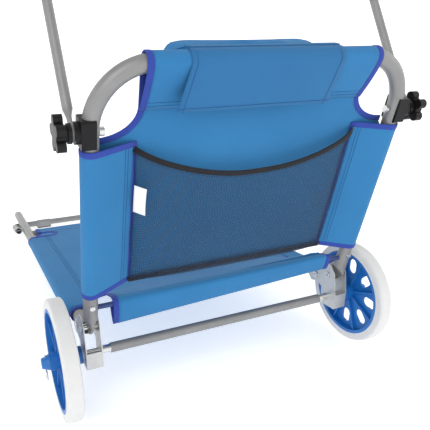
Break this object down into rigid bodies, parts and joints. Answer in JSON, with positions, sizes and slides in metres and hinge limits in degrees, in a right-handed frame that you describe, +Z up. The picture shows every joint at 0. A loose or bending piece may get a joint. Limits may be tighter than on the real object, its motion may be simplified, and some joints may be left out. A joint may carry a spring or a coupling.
{
  "type": "beach cart lounger",
  "caption": "Low beach lounger and cart: a sloping cloth seat on two wheels, a folding back with a net pocket and head cushion, and a clamped pull hoop.",
  "frame": {"origin": "centre of the footprint on the floor, at the middle of the whole part's box", "axes": "+X to the right seen from behind, +Y towards the front of the seat, +Z up"},
  "size_m": [0.6148, 1.0004, 0.8181],
  "materials": {
    "tube": "satin silver-grey powder coat",
    "zinc": "bright zinc plate",
    "steel": "plated steel",
    "canvas": "woven polyester canvas",
    "net": "knitted net",
    "tape": "black woven tape",
    "wheel_blue": "moulded, semi-gloss",
    "tyre": "off-white foam",
    "black_plastic": "moulded black",
    "grey_plastic": "moulded grey",
    "pad": "black rubber"
  },
  "bodies": {
    "chassis": {"axle_rod": "steel", "axle_spacers": "steel", "axle_tube": "tube", "axle_washers": "steel", "backrest_pivot_pins": "steel", "foot_pivot_bolts": "steel", "hinge_bracket_left": "zinc", "hinge_bracket_right": "zinc", "hub_cap_left": "wheel_blue", "hub_cap_right": "wheel_blue", "ring_pin_left": "steel", "ring_pin_right": "steel", "seat_front_bar": "tube", "seat_rivets": "steel", "seat_sling": "canvas", "seat_tube_left": "tube", "seat_tube_right": "tube"},
    "backrest": {"backrest_frame": "tube", "backrest_lower_bar": "tube", "backrest_rivets": "steel", "backrest_sling": "canvas", "seat_rear_sleeve": "canvas", "mesh_pocket": "net", "pocket_top_binding": "tape", "pocket_bottom_binding": "tape", "head_pillow": "canvas", "pillow_flap": "canvas", "clamp_block_left": "black_plastic", "clamp_disc_inner_left": "black_plastic", "clamp_bolt_left": "steel", "clamp_block_right": "black_plastic", "clamp_disc_inner_right": "black_plastic", "clamp_bolt_right": "steel"},
    "hoop": {"handle_hoop": "tube", "clamp_disc_outer_left": "black_plastic", "clamp_disc_outer_right": "black_plastic"},
    "foot": {"front_foot": "tube", "foot_clip_left": "grey_plastic", "foot_clip_right": "grey_plastic", "foot_pad_left": "pad", "foot_pad_right": "pad"},
    "knob_left": {"wing_knob_left": "black_plastic"},
    "wheel_left": {"wheel_disc_left": "wheel_blue", "tyre_left": "tyre"},
    "knob_right": {"wing_knob_right": "black_plastic"},
    "wheel_right": {"wheel_disc_right": "wheel_blue", "tyre_right": "tyre"}
  },
  "joints": [
    {"name": "backrest_fold", "type": "hinge", "parent": "chassis", "child": "backrest", "pos_m": [0, -0.38381, 0.14], "axis": [1, 0, 0], "range_deg": [-80, 35]},
    {"name": "hoop_tilt", "type": "hinge", "parent": "backrest", "child": "hoop", "pos_m": [0, -0.46732, 0.4541], "axis": [-1, 0, 0], "range_deg": [-190, 60]},
    {"name": "front_foot_fold", "type": "hinge", "parent": "chassis", "child": "foot", "pos_m": [0, 0.30619, 0.04811], "axis": [-1, 0, 0], "range_deg": [0, 90]},
    {"name": "knob_left_turn", "type": "hinge", "parent": "backrest", "child": "knob_left", "pos_m": [-0.266, -0.46732, 0.4541], "axis": [-1, 0, 0], "range_deg": [0, 180]},
    {"name": "wheel_left_spin", "type": "hinge", "parent": "chassis", "child": "wheel_left", "pos_m": [-0.2758, -0.38381, 0.0945], "axis": [1, 0, 0], "continuous": true},
    {"name": "knob_right_turn", "type": "hinge", "parent": "backrest", "child": "knob_right", "pos_m": [0.266, -0.46732, 0.4541], "axis": [1, 0, 0], "range_deg": [0, 180]},
    {"name": "wheel_right_spin", "type": "hinge", "parent": "chassis", "child": "wheel_right", "pos_m": [0.2758, -0.38381, 0.0945], "axis": [1, 0, 0], "continuous": true}
  ]
}
